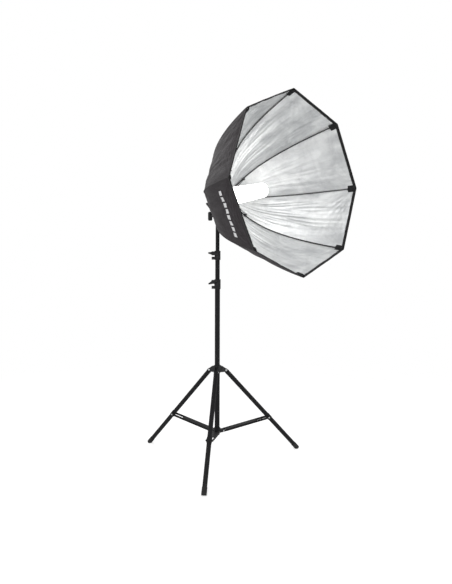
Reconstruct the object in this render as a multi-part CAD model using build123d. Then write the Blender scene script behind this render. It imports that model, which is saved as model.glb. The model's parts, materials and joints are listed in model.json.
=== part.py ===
"""Octagonal umbrella softbox with a lamp head, on a folding light stand.

Millimetres, +Z up, floor at Z = 0. The softbox faces -Y and is tilted up a little.
The stand is modelled on the Z axis and everything is moved to STAND_X, STAND_Y at the end,
so that the origin lies on the floor under the middle of the whole object.
The lamp head is modelled in its own frame: x to the right, y up, z forward along the beam,
with its origin where the beam axis crosses the axis of the stand.
"""
from build123d import *
from math import atan2, cos, degrees, hypot, radians, sin, sqrt
import os

# ---- whole object ----
STAND_X = -21.9
STAND_Y = 47.7
BEAM_HEIGHT = 1291.0
BEAM_TILT = 4.85

# ---- softbox shell ----
PANELS = 8
MOUTH_RADIUS = 400.0
SHELL_DEPTH = 450.0
SHELL_POWER = 2.75
MOUTH_AHEAD = 521.0
CLOTH = 1.2
CLOTH_GAP = 0.25
HUB_HOLE_RADIUS = 46.0
STRAIGHT_BELOW = 125.0
CLOTH_STATIONS = [400.0, 388.0, 368.0, 342.0, 310.0, 274.0, 236.0, 196.0, 158.0]

# ---- umbrella frame ----
RIB_INSET = 6.0
RIB_RADIUS = 2.0
RIB_STATIONS = [170.0, 215.0, 260.0, 300.0, 335.0, 365.0]
RIB_TIP_RADIUS = 389.0
RIB_ROOT = 36.0
RIB_EYE = (4.0, 2.5, 1.3)
STRETCHER_RADIUS = 1.6
STRETCHER_DROP = 7.0
RUNNER_BACK = 436.0
RUNNER_HALF = 4.0
UMBRELLA_FOLD = 30.0
PIN_RADIUS = 1.25
RUNNER_PIN = 0.9

# ---- lamp head ----
BARREL_RADIUS = 26.0
BARREL_WALL = 2.8
HOUSING_RADIUS = 34.0
HOUSING_WALL = 2.2
HOUSING_FRONT = 52.0
HOUSING_SPLIT = 13.0
HOUSING_REAR = -28.0
HOUSING_REAR_RADIUS = 26.0
BULB_RADIUS = 40.0
BULB_END_RADIUS = 31.0
BULB_END_ROUND = 9.0
BULB_END_BACK = 206.0
BULB_SHOULDER_BACK = 396.0
CAP_RADIUS = 13.2
TILT_HEIGHT = 1240.0
TILT_BOSS = 13.0
TILT_BOLT = 3.05
FORK_INNER = 7.4
FORK_OUTER = 12.4

# ---- stand ----
BASE_TUBE = (12.5, 11.3, 133.0, 884.0)
MIDDLE_TUBE = (11.0, 9.8, 335.0, 1023.0)
TOP_TUBE = (9.5, 8.3, 530.0, 1180.0)
RUNNING = 0.06
SPIGOT_RADIUS = 7.94
SPIGOT_TOP = 1216.0
ADAPTER_BOTTOM = 1186.0
ADAPTER_SCREW = 1209.0
LOWER_LOCK = (855.0, 902.0, 15.5)
UPPER_LOCK = (997.0, 1041.0, 14.5)
LOCK_STEP = 18.0
LUG_ANGLE = 138.7
LUG_REACH = 21.5
LEG_ANGLE = 221.6
LEG_COUNT = 3
LEG_PIVOT = (44.0, 451.6)
LEG_FOOT = (450.0, 12.0)
LEG_RADIUS = 11.0
LEG_WALL = 1.2
LEG_END_ANGLE = 1.5
FOOT_SLEEVE = 24.0
CLIP_DOWN = 356.0
CLIP_INSET = 4.1
BRACE_PIVOT = (28.5, 147.5)
BRACE_COLLAR = (137.0, 163.0)
BRACE_SIDE = 13.2
BRACE_THICK = 2.0
BRACE_TALL = 10.0
BRACE_BRIDGE = (16.0, 188.0)
PLAY = 0.4
FIT = 0.1
COLLAR_TOP = 477.0
COLLAR_BOTTOM = 443.0
COLLAR_RADIUS = 19.0

nodes = {}
head = Location(Plane(
    origin=(0, 0, BEAM_HEIGHT),
    x_dir=(1, 0, 0),
    z_dir=(0, -cos(radians(BEAM_TILT)), sin(radians(BEAM_TILT))),
))


# ---------------------------------------------------------------- helpers

def rod(start, end, radius, bore=0.0):
    """A round bar or tube between two points."""
    start, end = Vector(*start), Vector(*end)
    plane = Plane(origin=start, z_dir=end - start)
    ring = Circle(radius) - Circle(bore) if bore else Circle(radius)
    return extrude(plane * ring, (end - start).length)


def ring(outer, inner, low, high):
    """A ring about Z."""
    return Pos(0, 0, low) * extrude(Circle(outer) - Circle(inner), high - low)


def disc(radius, low, high):
    """A round slug about Z."""
    return Pos(0, 0, low) * extrude(Circle(radius), high - low)


def plate(outline, x_low, x_high):
    """A plate whose (y, z) outline runs from x_low to x_high."""
    face = Plane.YZ * make_face(Polyline(*outline, close=True).edges())
    return Pos(x_low, 0, 0) * extrude(face, x_high - x_low)


def link(first, second, radius, x_low, x_high):
    """A plate with round ends about two (y, z) points."""
    (ya, za), (yb, zb) = first, second
    length = hypot(yb - ya, zb - za)
    ny, nz = -(zb - za) / length * radius, (yb - ya) / length * radius
    outline = [(ya + ny, za + nz), (yb + ny, zb + nz), (yb - ny, zb - nz), (ya - ny, za - nz)]
    ends = [rod((x_low, y, z), (x_high, y, z), radius) for y, z in (first, second)]
    return plate(outline, x_low, x_high) + ends[0] + ends[1]


def cross_pin(point, radius, half):
    """A pin along X at a (y, z) point."""
    return rod((-half, *point), (half, *point), radius)


def turned(solid, angle):
    return Rot(0, 0, angle) * solid


def add(name, *solids):
    """Files the separate solids of one named piece."""
    nodes[name] = [part for solid in solids for part in solid.solids()]


# ---------------------------------------------------------------- shell line

def shell_back(radius):
    """How far behind the mouth a corner of the shell is at a radius."""
    curve = SHELL_DEPTH * (1 - (max(radius, STRAIGHT_BELOW) / MOUTH_RADIUS) ** SHELL_POWER)
    return curve + SHELL_SLOPE * max(STRAIGHT_BELOW - radius, 0.0)


def slope_at(radius):
    """How fast the shell goes back per unit of radius towards the hub."""
    share = max(radius, STRAIGHT_BELOW) / MOUTH_RADIUS
    return SHELL_DEPTH * SHELL_POWER / MOUTH_RADIUS * share ** (SHELL_POWER - 1)


def inside(radius, inset):
    """The (radius, z) point at a depth inside the shell line, square to it."""
    slope = slope_at(radius)
    scale = inset / hypot(1, slope)
    return radius - slope * scale, MOUTH_AHEAD - shell_back(radius) + scale


SHELL_SLOPE = slope_at(STRAIGHT_BELOW)
RIB_BEND = inside(STRAIGHT_BELOW, RIB_INSET)
RIB_PIVOT = (RIB_ROOT, RIB_BEND[1] - SHELL_SLOPE * (RIB_BEND[0] - RIB_ROOT))
STRETCHER_PIVOT = inside(STRAIGHT_BELOW, RIB_INSET + STRETCHER_DROP)
RUNNER_PIVOT = (RIB_ROOT, MOUTH_AHEAD - RUNNER_BACK)
ARM = hypot(STRETCHER_PIVOT[0] - RIB_PIVOT[0], STRETCHER_PIVOT[1] - RIB_PIVOT[1])
STRETCHER = hypot(STRETCHER_PIVOT[0] - RUNNER_PIVOT[0], STRETCHER_PIVOT[1] - RUNNER_PIVOT[1])


def folded_runner():
    """Where the runner pivot and the stretcher direction end once the ribs are folded."""
    start = atan2(STRETCHER_PIVOT[1] - RIB_PIVOT[1], STRETCHER_PIVOT[0] - RIB_PIVOT[0])
    angle = start + radians(UMBRELLA_FOLD)
    y = RIB_PIVOT[0] + ARM * cos(angle)
    z = RIB_PIVOT[1] + ARM * sin(angle)
    back = sqrt(STRETCHER ** 2 - (y - RIB_ROOT) ** 2)
    return z - back, degrees(atan2(-back, RIB_ROOT - y)) % 360


# ---------------------------------------------------------------- softbox

def make_gore():
    """One eighth of the shell, centred on the top rib, from the hub hole to the mouth."""
    half = radians(180 / PANELS)
    faces = []
    for outer in CLOTH_STATIONS + [STRAIGHT_BELOW, HUB_HOLE_RADIUS]:
        inner = outer - CLOTH * hypot(1, 1 / slope_at(outer))
        points = []
        for radius, way in ((outer, 1), (inner, -1)):
            mid = radius * cos(half)
            edge = mid * sin(half) - CLOTH_GAP / 2
            points += [(-edge * way, mid * cos(half)), (0, radius), (edge * way, mid * cos(half))]
        outline = make_face(Polyline(*points, close=True).edges())
        faces.append(Pos(0, 0, MOUTH_AHEAD - shell_back(outer)) * outline)
    return loft(faces, ruled=True)


def make_rib():
    """The top rib: root eye, straight root, curved rod, tip cap and stretcher block."""
    root = (0, *RIB_PIVOT)
    bend = (0, *RIB_BEND)
    along = (Vector(*bend) - Vector(*root)).normalized()
    curve = [(0, *inside(r, RIB_INSET)) for r in RIB_STATIONS + [RIB_TIP_RADIUS]]
    tip_slope = slope_at(RIB_TIP_RADIUS)
    tip_way = Vector(0, 1, tip_slope).normalized()
    path = Spline(bend, *curve, tangents=[along, tip_way])
    start = Plane(origin=bend, z_dir=along)
    bar = sweep(start * Circle(RIB_RADIUS), path=path)
    eye, half, bore = RIB_EYE
    body = rod(tuple(Vector(*root) + along * (bore + 1)), bend, RIB_RADIUS) + bar
    body += cross_pin(RIB_PIVOT, eye, half)
    body -= cross_pin(RIB_PIVOT, bore, half + 1)
    tip = Vector(*curve[-1])
    body += rod(tuple(tip - tip_way * 8), tuple(tip + tip_way * 3), RIB_RADIUS + 1.2)
    block_y, block_z = RIB_BEND
    angle = degrees(atan2(along.Z, along.Y))
    block = Pos(0, block_y, block_z) * Rot(angle, 0, 0) * Box(9, 15, 6)
    ear_root = inside(STRAIGHT_BELOW, RIB_INSET + 2.0)
    ears = [link(ear_root, STRETCHER_PIVOT, 4.0, *span) for span in ((-4.5, -1.9), (1.9, 4.5))]
    body += block + ears[0] + ears[1]
    body += cross_pin(STRETCHER_PIVOT, PIN_RADIUS, 4.5)
    return body


def make_stretcher():
    """The strut from a rib block to the runner. Its slotted end allows for the runner's path."""
    way_y = (RUNNER_PIVOT[0] - STRETCHER_PIVOT[0]) / STRETCHER
    way_z = (RUNNER_PIVOT[1] - STRETCHER_PIVOT[1]) / STRETCHER

    def at(distance):
        return (STRETCHER_PIVOT[0] + way_y * distance, STRETCHER_PIVOT[1] + way_z * distance)

    body = rod((0, *at(2.8)), (0, *at(STRETCHER - 8)), STRETCHER_RADIUS)
    body += cross_pin(STRETCHER_PIVOT, 3.5, 1.5)
    body -= cross_pin(STRETCHER_PIVOT, PIN_RADIUS + 0.05, 3)
    body += link(at(STRETCHER - 9), at(STRETCHER), 3.3, -1.5, 1.5)
    body -= link(at(STRETCHER - 3.2), at(STRETCHER + 0.3), 1.9, -3, 3)
    return body


def lugs_about(point, root, radius, inner, outer, pin):
    """A pair of hinge lugs that reach out to a (radius, z) point, with their pin."""
    pair = []
    for low, high in ((-outer, -inner), (inner, outer)):
        pair.append(link((root, point[1]), point, radius, low, high))
    return pair[0] + pair[1] + cross_pin(point, pin, outer)


def lugged_ring(bore, outer, low, high, groove, lug, point):
    """A ring with a pair of hinge lugs at each rib, and a groove between each pair."""
    radius, inner, reach, pin = lug
    body = ring(outer, bore, low, high)
    cut = Pos(0, (groove + 60) / 2, point[1]) * Box(2 * inner, 60 - groove, 40)
    pair = lugs_about(point, outer, radius, inner, reach, pin)
    for index in range(PANELS):
        body += turned(pair, -360 / PANELS * index)
    pin_bar = cross_pin(point, pin, reach)
    for index in range(PANELS):
        body -= turned(cut - pin_bar, -360 / PANELS * index)
    return body


def make_softbox():
    gore, rib, strut = make_gore(), make_rib(), make_stretcher()
    for index in range(PANELS):
        angle = -360 / PANELS * index
        add(f"gore_{index + 1}", head * turned(gore, angle))
        add(f"rib_{index + 1}", head * turned(rib, angle))
        add(f"stretcher_{index + 1}", head * turned(strut, angle))
    hub_low, hub_high = HOUSING_FRONT + 0.02, RIB_PIVOT[1] + 4.3
    hub = lugged_ring(BARREL_RADIUS + 0.02, 33.5, hub_low, hub_high, 30.5,
                      (4.3, RIB_EYE[1] + 0.3, 5.4, PIN_RADIUS), RIB_PIVOT)
    runner_z = RUNNER_PIVOT[1]
    runner = lugged_ring(BARREL_RADIUS + RUNNING, 31.0, runner_z - RUNNER_HALF, runner_z + RUNNER_HALF,
                         28.0, (3.8, 2.1, 4.6, RUNNER_PIN), RUNNER_PIVOT)
    add("rib_hub", head * hub)
    add("runner", head * runner)


# ---------------------------------------------------------------- lamp head

def revolved(outline):
    """A solid of revolution about Z from (radius, z) points."""
    face = Plane.XZ * make_face(Polyline(*outline, close=True).edges())
    return revolve(face, Axis.Z)


def make_bulb():
    cap_low = 70.0
    collar_low = MOUTH_AHEAD - 427.5
    shoulder = MOUTH_AHEAD - BULB_SHOULDER_BACK
    end = MOUTH_AHEAD - BULB_END_BACK
    globe = revolved([(0, shoulder + 0.05), (BULB_RADIUS, shoulder + 0.05), (BULB_END_RADIUS, end), (0, end)])
    globe = fillet(globe.edges().filter_by(GeomType.CIRCLE).sort_by(Axis.Z)[-1], BULB_END_ROUND)
    collar = revolved([
        (0, collar_low), (21, collar_low), (22, collar_low + 3), (36, shoulder - 9),
        (39.4, shoulder - 5), (39.4, shoulder), (0, shoulder),
    ])
    thread = revolved(screw_outline(cap_low + 3, collar_low - 0.05))
    contact = Pos(0, 0, cap_low) * extrude(Circle(5), 2.95)
    add("bulb_globe", head * globe)
    add("bulb_base", head * collar, head * thread, head * contact)


def screw_outline(low, high):
    """The rolled thread of the bulb's cap as a (radius, z) outline."""
    turns = 6
    pitch = (high - low) / turns
    outline = [(0, low)]
    for turn in range(turns):
        start = low + pitch * turn
        outline += [(CAP_RADIUS - 1.2, start), (CAP_RADIUS, start + pitch / 2)]
    return outline + [(CAP_RADIUS - 1.2, high), (0, high)]


def make_socket():
    """The barrel that the runner slides on, and the screw socket inside it."""
    front = MOUTH_AHEAD - 428.5
    barrel = ring(BARREL_RADIUS, BARREL_RADIUS - BARREL_WALL, HOUSING_FRONT - 20, front)
    sleeve = ring(BARREL_RADIUS - BARREL_WALL - 0.05, CAP_RADIUS + 0.5, 66, front - 1.5)
    floor = Pos(0, 0, 60) * extrude(Circle(BARREL_RADIUS - BARREL_WALL - 0.05), 6)
    add("lamp_socket", head * barrel, head * (sleeve + floor))


def make_housing():
    wall, radius, split = HOUSING_WALL, HOUSING_RADIUS, HOUSING_SPLIT
    rear, rear_radius = HOUSING_REAR, HOUSING_REAR_RADIUS
    front = revolved([
        (BARREL_RADIUS + 0.02, HOUSING_FRONT), (radius - 2, HOUSING_FRONT), (radius, HOUSING_FRONT - 2),
        (radius, split), (radius - wall, split), (radius - wall, HOUSING_FRONT - 3),
        (BARREL_RADIUS + 0.02, HOUSING_FRONT - 3),
    ])
    back = revolved([
        (radius, split - 0.02), (radius, split - 12), (rear_radius + 2.5, rear + 5), (rear_radius - 2, rear),
        (0, rear), (0, rear + wall), (rear_radius - 3, rear + wall), (rear_radius, rear + 6),
        (radius - wall, split - 13), (radius - wall, split - 0.02),
    ])
    for index in range(5):
        z = split - 4 - 3.2 * index
        back -= ring(radius + 1, radius - 0.7, z - 0.7, z + 0.7)
    back -= Pos(0, -9, rear) * Box(17, 10, 12)
    back -= Pos(0, 9, rear) * Box(11.4, 15.4, 12)
    add("housing_front", head * front)
    add("housing_rear", head * back)
    inlet = Pos(0, -9, rear + 7) * Box(16.8, 9.8, 14)
    shell = Pos(0, -9, rear + 5.5) * Box(14.4, 7.4, 12)
    pins = [Pos(x, -9, 0) * disc(1.2, rear + 3.5, rear + 11.5) for x in (-4.3, 4.3)]
    add("power_inlet", head * (inlet - shell), *[head * pin for pin in pins])
    frame_ring = Pos(0, 9, rear - 0.6) * (Box(14, 18, 1.2) - Box(11.2, 15.2, 3))
    add("switch_frame", head * frame_ring)
    outline = [(2.2, rear - 2.8), (16, rear - 0.2), (16, rear + 8), (2, rear + 8)]
    add("power_switch", head * plate(outline, -5.2, 5.2))
    screws = []
    for angle in (45, 135, 225, 315):
        spot = turned(Pos(29.0, 0, split - 12) * rod((0, 0, 0), (0, 0, 20), 1.4), angle)
        screws.append(head * spot)
    add("housing_screws", *screws)


def make_bracket():
    """The tilt lug under the housing, in the frame of the head."""
    offset = TILT_HEIGHT - BEAM_HEIGHT
    tilt = radians(BEAM_TILT)
    pivot = (offset * cos(tilt), offset * sin(tilt))
    top = -HOUSING_RADIUS - 0.4
    outline = [(top, -17), (top, 13), (pivot[0] + 3, pivot[1] + TILT_BOSS - 0.5),
               (pivot[0] + 3, pivot[1] - TILT_BOSS + 0.5)]
    lug = plate(outline, -7, 7) + cross_pin(pivot, TILT_BOSS, 7)
    saddle = Pos(0, top + 3.2, -4) * Box(26, 9, 32)
    lug += saddle - Pos(0, 0, -25) * extrude(Circle(HOUSING_RADIUS + 0.02), 50)
    lug -= cross_pin(pivot, TILT_BOLT + 0.05, 20)
    add("lamp_bracket", head * lug)


def make_adapter():
    """The clamp on the spigot, with the fork that the lamp head tilts in."""
    top = TILT_HEIGHT
    body = Pos(0, 0, ADAPTER_BOTTOM) * extrude(Circle(15.5), 34)
    body = chamfer(body.edges().sort_by(Axis.Z)[0], 2.5)
    fork = Pos(0, 0, top - 20) * Box(2 * FORK_OUTER, 25, 14)
    body += fork
    for low, high in ((-FORK_OUTER, -FORK_INNER), (FORK_INNER, FORK_OUTER)):
        body += link((0, top), (0, top - 18), 12.5, low, high)
    body -= Pos(0, 0, top - 2) * Box(2 * FORK_INNER, 40, 26)
    body -= Pos(0, 0, ADAPTER_BOTTOM - 1) * extrude(Circle(SPIGOT_RADIUS + RUNNING), 32.5)
    body -= cross_pin((0, top), TILT_BOLT + 0.05, 30)
    hole = rod((0, 5, ADAPTER_SCREW), (0, 30, ADAPTER_SCREW), 3.05)
    body += rod((0, 14, ADAPTER_SCREW), (0, 19, ADAPTER_SCREW), 7.5)
    body -= hole
    add("stand_adapter", body)
    grip = extrude(Plane(origin=(0, 45.0, ADAPTER_SCREW), x_dir=(1, 0, 0), z_dir=(0, 1, 0))
                   * SlotCenterToCenter(30, 14, rotation=90), 20)
    grip = fillet(grip.edges().filter_by(GeomType.CIRCLE), 3)
    stem = rod((0, SPIGOT_RADIUS + FIT, ADAPTER_SCREW), (0, 26, ADAPTER_SCREW), 3.0)
    neck = rod((0, 26, ADAPTER_SCREW), (0, 46, ADAPTER_SCREW), 5.5)
    add("adapter_knob", grip + neck, stem)


def make_tilt_lever():
    """The clamping lever on the tilt bolt. The arm leans out to the side and up."""
    z = TILT_HEIGHT
    outline = [(-15, z - 9), (-24, z - 20), (-69, z + 23), (-69, z + 29), (-64, z + 30), (-48, z + 30),
               (-15, z + 8)]
    face = Plane.XZ * make_face(Polyline(*outline, close=True).edges())
    arm = Pos(0, 5.5, 0) * extrude(face, 11)
    arm = fillet(arm.edges().filter_by(Axis.Y), 2.0)
    boss = rod((-FORK_OUTER - 0.3, 0, z), (-27, 0, z), 9)
    bolt = rod((-FORK_OUTER - 0.3, 0, z), (FORK_OUTER + 7, 0, z), TILT_BOLT)
    nut = extrude(Plane(origin=(FORK_OUTER + 0.3, 0, z), z_dir=(1, 0, 0))
                  * (RegularPolygon(5.8, 6) - Circle(TILT_BOLT)), 5)
    add("tilt_lever", arm + boss, bolt, nut)


# ---------------------------------------------------------------- stand

def make_tubes():
    for name, (outer, inner, low, high) in (
        ("base_tube", BASE_TUBE), ("middle_tube", MIDDLE_TUBE), ("top_tube", TOP_TUBE),
    ):
        add(name, ring(outer, inner, low, high))
    foot_plug = Pos(0, 0, BASE_TUBE[2] - 4) * extrude(Circle(BASE_TUBE[0]), 4)
    foot_plug += Pos(0, 0, BASE_TUBE[2]) * extrude(Circle(BASE_TUBE[1] - FIT), 12)
    add("base_plug", foot_plug)
    collar = disc(10.6, TOP_TUBE[3], ADAPTER_BOTTOM - 0.4)
    stud = Pos(0, 0, ADAPTER_BOTTOM - 1) * extrude(Circle(SPIGOT_RADIUS), SPIGOT_TOP - ADAPTER_BOTTOM + 1)
    stud = chamfer(stud.edges().sort_by(Axis.Z)[-1], 1.5)
    root = Pos(0, 0, TOP_TUBE[3] - 30) * extrude(Circle(TOP_TUBE[1] - FIT), 30)
    add("spigot", collar + stud + root)


def make_lock(name, low, high, outer, tube, slider, wing_angle):
    """A split clamp collar with two lugs, its fixed bolt, and its wing knob."""
    step = high - LOCK_STEP
    body = ring(outer, tube + 0.01, low, step) + ring(outer, slider + RUNNING, step, high)
    body = fillet(body.edges().filter_by(GeomType.CIRCLE).group_by(SortBy.RADIUS)[-1], 1.2)
    knob_z, bolt_z = high - 12.5, low + 8.0
    for z, radius in ((knob_z, 9.5), (bolt_z, 7.0)):
        lug = Pos(outer / 2 + LUG_REACH / 2, 0, z) * Box(LUG_REACH - outer + 14, 13, 2 * radius)
        lug += rod((LUG_REACH, -6.5, z), (LUG_REACH, 6.5, z), radius)
        body += lug - Pos(0, 0, low) * extrude(Circle(outer - 1), high - low)
    body -= Pos(outer + 8, 0, (low + high) / 2) * Box(34, 2, high - low + 2)
    body -= rod((LUG_REACH, -9, knob_z), (LUG_REACH, 9, knob_z), 2.55)
    body -= rod((LUG_REACH, -9, bolt_z), (LUG_REACH, 9, bolt_z), 2.05)
    bolt = rod((LUG_REACH, -10, bolt_z), (LUG_REACH, 9.5, bolt_z), 2.0)
    bolt += extrude(Plane(origin=(LUG_REACH, 9.5, bolt_z), z_dir=(0, -1, 0)) * RegularPolygon(4.2, 6), 2.9)
    bolt += extrude(Plane(origin=(LUG_REACH, -9.5, bolt_z), z_dir=(0, 1, 0)) * RegularPolygon(4.2, 6), 2.9)
    add(f"{name}_lock_collar", turned(body, LUG_ANGLE), turned(bolt, LUG_ANGLE))
    hub = rod((LUG_REACH, 6.8, knob_z), (LUG_REACH, 22.4, knob_z), 7.2)
    upper = [(-24, 2.2), (-22.5, 3.2), (-7, 7), (7, 7), (22.5, 3.2), (24, 2.2)]
    lower = [(x, -y) for x, y in reversed(upper)]
    wing = Plane(origin=(LUG_REACH, 22.4, knob_z), x_dir=(1, 0, 0), z_dir=(0, -1, 0))
    blade = extrude(wing * make_face(Polyline(*upper, *lower, close=True).edges()), 6)
    blade = Pos(LUG_REACH, 0, knob_z) * Rot(0, wing_angle, 0) * Pos(-LUG_REACH, 0, -knob_z) * blade
    bolt = rod((LUG_REACH, -9.2, knob_z), (LUG_REACH, 6.8, knob_z), 2.5)
    bolt += rod((LUG_REACH, -9.2, knob_z), (LUG_REACH, -6.8, knob_z), 4.5)
    add(f"{name}_lock_knob", turned(hub + blade, LUG_ANGLE), turned(bolt, LUG_ANGLE))


def leg_way():
    """The unit (radius, z) direction down a leg, and the one square to it, towards the tube."""
    dr, dz = LEG_FOOT[0] - LEG_PIVOT[0], LEG_FOOT[1] - LEG_PIVOT[1]
    length = hypot(dr, dz)
    return (dr / length, dz / length), (dz / length, -dr / length), length


def on_leg(down, inset=0.0):
    along, square, _ = leg_way()
    return (LEG_PIVOT[0] + along[0] * down + square[0] * inset,
            LEG_PIVOT[1] + along[1] * down + square[1] * inset)


def upright(point, side=0.0):
    """A (radius, z) point of a leg's plane as a point in space, with the leg along +X."""
    return (point[0], side, point[1])


def side_link(first, second, radius, low, high):
    """A plate with round ends in a leg's plane, between two distances to its side."""
    piece = link(first, second, radius, -high, -low)
    return piece.rotate(Axis.Z, -90)


def side_pin(point, radius, low, high):
    return rod(upright(point, low), upright(point, high), radius)


def make_leg():
    """One leg along +X: crimped top with its eye, round tube, and the sleeve its brace straddles."""
    _, _, length = leg_way()
    tube = rod(upright(on_leg(16)), upright(on_leg(length - 4)), LEG_RADIUS, LEG_RADIUS - LEG_WALL)
    plug = rod(upright(on_leg(10)), upright(on_leg(34)), LEG_RADIUS - LEG_WALL - 0.02)
    plug += rod(upright(on_leg(10)), upright(on_leg(15.95)), LEG_RADIUS + 0.4)
    plug += side_link(on_leg(0), on_leg(12), 8.5, -6, 6)
    plug -= side_pin(LEG_PIVOT, 2.55, -12, 12)
    clip = rod(upright(on_leg(CLIP_DOWN - 13)), upright(on_leg(CLIP_DOWN + 13)), LEG_RADIUS + 1.6)
    clip += side_pin(on_leg(CLIP_DOWN, CLIP_INSET), 6.0, PLAY - BRACE_SIDE, BRACE_SIDE - PLAY)
    clip -= rod(upright(on_leg(CLIP_DOWN - 30)), upright(on_leg(CLIP_DOWN + 30)), LEG_RADIUS + 0.02)
    return tube, plug, clip


def make_foot():
    """A rubber cap on a leg's end, cut flat where it stands on the floor."""
    _, _, length = leg_way()
    cap = rod(upright(on_leg(length - FOOT_SLEEVE)), upright(on_leg(length + 11.6)), LEG_RADIUS + 1.2)
    cap = fillet(cap.edges().sort_by(Axis.Z)[-1], 0.8)
    cap -= rod(upright(on_leg(length - 60)), upright(on_leg(length - 3.95)), LEG_RADIUS + 0.02)
    cap -= Pos(LEG_FOOT[0], 0, -25) * Box(100, 60, 50)
    return cap


def make_brace():
    """A pair of pressed strips that straddle a leg, joined by a web on top, with their outer rivets."""
    outer = on_leg(CLIP_DOWN, CLIP_INSET)
    dr, dz = outer[0] - BRACE_PIVOT[0], outer[1] - BRACE_PIVOT[1]
    length, angle = hypot(dr, dz), degrees(atan2(dz, dr))
    half = BRACE_TALL / 2
    side = BRACE_SIDE + BRACE_THICK
    strip = side_link(BRACE_PIVOT, outer, half, BRACE_SIDE, side)
    middle = ((outer[0] + BRACE_PIVOT[0]) / 2, (outer[1] + BRACE_PIVOT[1]) / 2)
    bead = Box(length - 34, 1.6, 3)
    flanges = [Pos(0, 0.6, level) * Box(length - 26, 2.0, 1.4) for level in (half - 0.7, 0.7 - half)]
    strip += Location(upright(middle, side), (0, -angle, 0)) * (bead + flanges[0] + flanges[1])
    strip -= side_pin(BRACE_PIVOT, 2.55, 0, 30)
    start, end = BRACE_BRIDGE
    bridge = Pos((start + end) / 2, 0, half - 1) * Box(end - start, 2 * BRACE_SIDE + 1, 2)
    bridge = Location(upright(BRACE_PIVOT), (0, -angle, 0)) * bridge
    rivet = side_pin(outer, 3.6, side + 0.02, side + 2.2)
    rivet = fillet(rivet.edges().filter_by(GeomType.CIRCLE).sort_by(Axis.Y)[-1], 1.4)
    return strip + mirror(strip, Plane.XZ) + bridge, rivet, mirror(rivet, Plane.XZ)


def make_brace_collar():
    """The fixed collar at the foot of the base tube, with a forked ear and a rivet for each brace."""
    low, high = BRACE_COLLAR
    body = ring(COLLAR_RADIUS - 2, BASE_TUBE[0] + 0.01, low, high)
    cheek = BRACE_SIDE - PLAY
    outside = BRACE_SIDE + BRACE_THICK + 0.3
    ear = Pos(BRACE_PIVOT[0] / 2, 0, BRACE_PIVOT[1]) * Box(BRACE_PIVOT[0], 2 * cheek, 13.6)
    ear += side_pin(BRACE_PIVOT, 6.8, -cheek, cheek)
    ear -= Pos(BRACE_PIVOT[0] + 6, 0, BRACE_PIVOT[1]) * Box(24, 13, 20)
    ear -= disc(COLLAR_RADIUS - 3, low - 5, high + 5)
    ear -= side_pin(BRACE_PIVOT, 2.5, -30, 30)
    pin = side_pin(BRACE_PIVOT, 2.5, -outside - 1, outside + 1)
    for start in (outside, -outside - 2):
        pin += side_pin(BRACE_PIVOT, 3.8, start, start + 2)
    pins = []
    for index in range(LEG_COUNT):
        angle = LEG_ANGLE + 120 * index
        body += turned(ear, angle)
        pins.append(turned(pin, angle))
    add("brace_collar", body, *pins)


def make_leg_collar():
    """The sliding collar that carries the legs, its rivets and its lock knob."""
    body = ring(COLLAR_RADIUS, BASE_TUBE[0] + RUNNING, COLLAR_BOTTOM, COLLAR_TOP)
    body = chamfer(body.edges().filter_by(GeomType.CIRCLE).group_by(SortBy.RADIUS)[-1], 1.5)
    pins = []
    leg_r, leg_z = LEG_PIVOT
    bore = Pos(0, 0, COLLAR_BOTTOM - 5) * extrude(Circle(COLLAR_RADIUS - 2), 60)
    for index in range(LEG_COUNT):
        angle = LEG_ANGLE + 120 * index
        for low, high in ((-9.4, -6.4), (6.4, 9.4)):
            web = plate([(10, COLLAR_BOTTOM), (leg_r, leg_z - 8.5), (leg_r, leg_z + 8.5),
                         (24, COLLAR_TOP - 3), (10, COLLAR_TOP - 3)], low, high)
            web += rod((low, leg_r, leg_z), (high, leg_r, leg_z), 8.5)
            body += turned(web.rotate(Axis.Z, -90) - bore, angle)
        body -= turned(side_pin(LEG_PIVOT, 2.5, -12, 12), angle)
        pin = side_pin(LEG_PIVOT, 2.5, -10, 10)
        pin += side_pin(LEG_PIVOT, 4.4, -11.4, -9.42) + side_pin(LEG_PIVOT, 4.4, 9.42, 11.4)
        pins.append(turned(pin, angle))
    boss_z = COLLAR_TOP - 10
    way = LEG_ANGLE + 180
    boss = rod((COLLAR_RADIUS - 3, 0, boss_z), (COLLAR_RADIUS + 5, 0, boss_z), 7.5)
    hole = rod((10, 0, boss_z), (40, 0, boss_z), 3.05)
    body += turned(boss, way)
    body -= turned(hole, way)
    add("leg_collar", body, *pins)
    grip = rod((COLLAR_RADIUS + 8, 0, boss_z), (COLLAR_RADIUS + 22, 0, boss_z), 11)
    for index in range(8):
        spoke = radians(45 * index)
        y, z = 13.2 * cos(spoke), boss_z + 13.2 * sin(spoke)
        grip -= rod((0, y, z), (60, y, z), 3.4)
    stem = rod((BASE_TUBE[0] + 0.1, 0, boss_z), (COLLAR_RADIUS + 7.98, 0, boss_z), 3.0)
    add("leg_collar_knob", turned(grip, way), turned(stem, way))


def make_stand():
    make_tubes()
    make_lock("lower", *LOWER_LOCK, BASE_TUBE[0], MIDDLE_TUBE[0], 22)
    make_lock("upper", *UPPER_LOCK, MIDDLE_TUBE[0], TOP_TUBE[0], -6)
    make_brace_collar()
    make_leg_collar()
    leg, foot, brace = make_leg(), make_foot(), make_brace()
    for index in range(LEG_COUNT):
        angle = LEG_ANGLE + 120 * index
        add(f"leg_{index + 1}", *[turned(piece, angle) for piece in leg])
        add(f"foot_{index + 1}", turned(foot, angle))
        add(f"brace_{index + 1}", *[turned(piece, angle) for piece in brace])


make_stand()
make_adapter()
make_tilt_lever()
make_bracket()
make_housing()
make_socket()
make_bulb()
make_softbox()

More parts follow.
